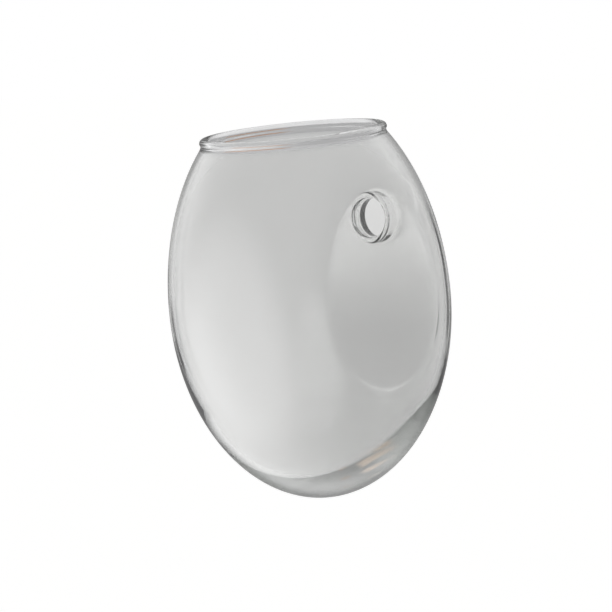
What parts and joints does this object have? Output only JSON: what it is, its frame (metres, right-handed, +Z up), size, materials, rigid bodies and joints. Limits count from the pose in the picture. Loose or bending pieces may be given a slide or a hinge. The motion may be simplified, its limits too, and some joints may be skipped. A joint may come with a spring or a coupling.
{
  "type": "hanging wall vase",
  "caption": "Egg-shaped clear glass vase with a flat oval back, a lipped hole in it to hang on a wall hook, a rolled rim and a heavy bottom.",
  "frame": {"origin": "centre of the hanging hole, in the plane of the wall that the flat back lies against", "axes": "+Z up along the wall, +Y out of the flat back into the wall, +X to the right as seen from the room"},
  "size_m": [0.116, 0.1059, 0.156],
  "materials": {
    "clear_glass": "clear blown soda-lime glass, fire-polished, with faint waves"
  },
  "bodies": {
    "root": {"glass_bowl": "clear_glass", "thick_base": "clear_glass", "rim_bead": "clear_glass", "flat_back": "clear_glass", "hole_collar": "clear_glass"}
  },
  "joints": []
}
